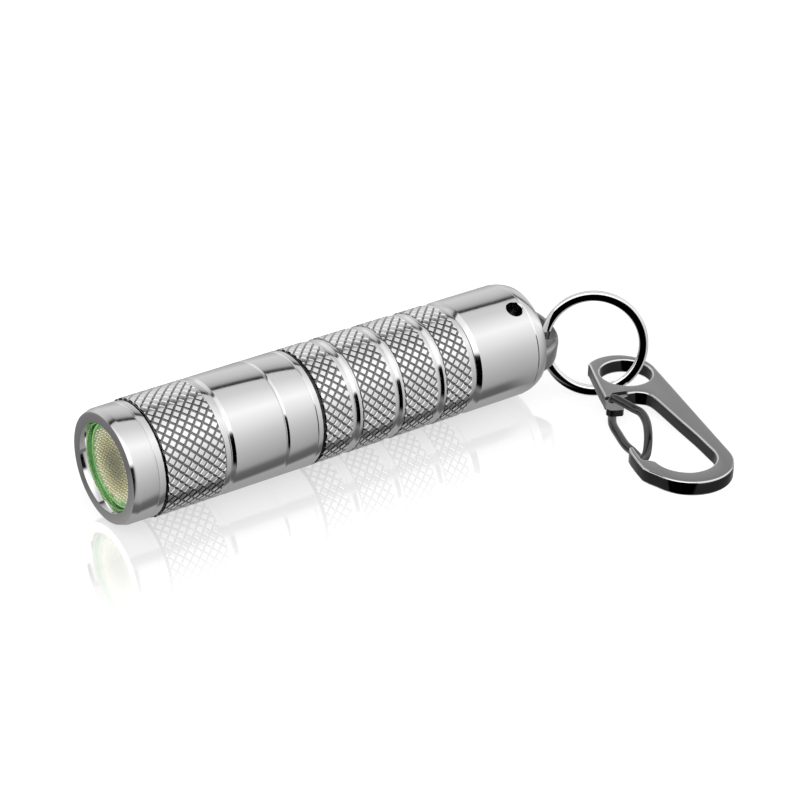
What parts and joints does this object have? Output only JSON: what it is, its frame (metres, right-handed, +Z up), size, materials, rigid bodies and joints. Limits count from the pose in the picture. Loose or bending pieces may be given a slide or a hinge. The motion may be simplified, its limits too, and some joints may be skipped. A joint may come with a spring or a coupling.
{
  "type": "keychain flashlight",
  "caption": "Pocket flashlight with a knurled twist head, grooved battery tube, slotted tail lug, split ring and a small snap hook with a wire gate.",
  "frame": {"origin": "centre of the front rim, on the light's axis", "axes": "+X runs from the front rim to the tail, +Z is up with the light lying on a table, +Y is away from the snap hook"},
  "size_m": [0.0822, 0.0482, 0.016],
  "materials": {
    "silver_body": "fine satin, lightly blasted and clear anodised",
    "black_rubber": "matte",
    "green_glow": "soft gloss, slightly glowing",
    "clear_glass": "polished",
    "optic_plastic": "moulded, beaded face",
    "white_board": "matte",
    "gold_metal": "polished plating",
    "led_resin": "clear yellow resin",
    "black_plastic": "matte",
    "red_wire": "smooth",
    "green_board": "solder mask",
    "cell_steel": "nickel plated",
    "cell_wrap": "shrink film",
    "bright_chrome": "polished",
    "dark_hook": "gun-metal, satin top and polished edges",
    "dark_wire": "polished black chrome"
  },
  "bodies": {
    "tube": {"battery_tube": "silver_body", "neck_oring": "black_rubber", "tail_oring": "black_rubber", "tail_cap": "silver_body", "tail_board": "green_board", "tail_spring": "gold_metal"},
    "battery": {"cell_can": "cell_steel", "cell_wrap": "cell_wrap", "cell_gasket": "black_rubber", "cell_button": "cell_steel"},
    "head": {"bezel": "silver_body", "bezel_oring": "black_rubber", "glow_ring": "green_glow", "lens": "clear_glass", "optic": "optic_plastic", "optic_collar": "white_board", "led_board": "white_board", "led_package": "gold_metal", "led_dome": "led_resin", "head_shell": "silver_body", "inductor": "black_plastic", "driver_chips": "black_plastic", "led_wires": "red_wire", "driver_board": "green_board", "contact_spring": "gold_metal", "polarity_guard": "black_plastic", "retaining_ring": "gold_metal"},
    "ring": {"split_ring": "bright_chrome"},
    "hook": {"hook_frame": "dark_hook"},
    "gate": {"gate_wire": "dark_wire"}
  },
  "joints": [
    {"name": "battery_slide", "type": "slide", "parent": "tube", "child": "battery", "axis": [-1, 0, 0], "range_m": [0, 0.003], "deforming": ["tail_spring"]},
    {"name": "head_twist", "type": "hinge", "parent": "battery", "child": "head", "pos_m": [0, 0, 0], "axis": [-1, 0, 0], "range_deg": [0, 1080]},
    {"name": "ring_swing", "type": "hinge", "parent": "tube", "child": "ring", "pos_m": [0.06952, -0.00317, -0.00056], "axis": [0.0762, 0.1227, 0.9895], "range_deg": [-50, 90]},
    {"name": "hook_travel", "type": "hinge", "parent": "ring", "child": "hook", "pos_m": [0.07477, -0.0077, -0.0004], "axis": [-0.6494, -0.747, 0.1426], "range_deg": [-30, 90]},
    {"name": "gate_open", "type": "hinge", "parent": "hook", "child": "gate", "pos_m": [0.07136, -0.01601, -0.00457], "axis": [-0.0191, -0.0525, 0.9984], "range_deg": [0, 25], "stiffness_Nm_per_rad": 0.004, "springref_deg": -8.59}
  ],
  "couplings": [
    {"joint": "battery_slide", "follows": "head_twist", "m_per_rad": 0.00015915}
  ]
}
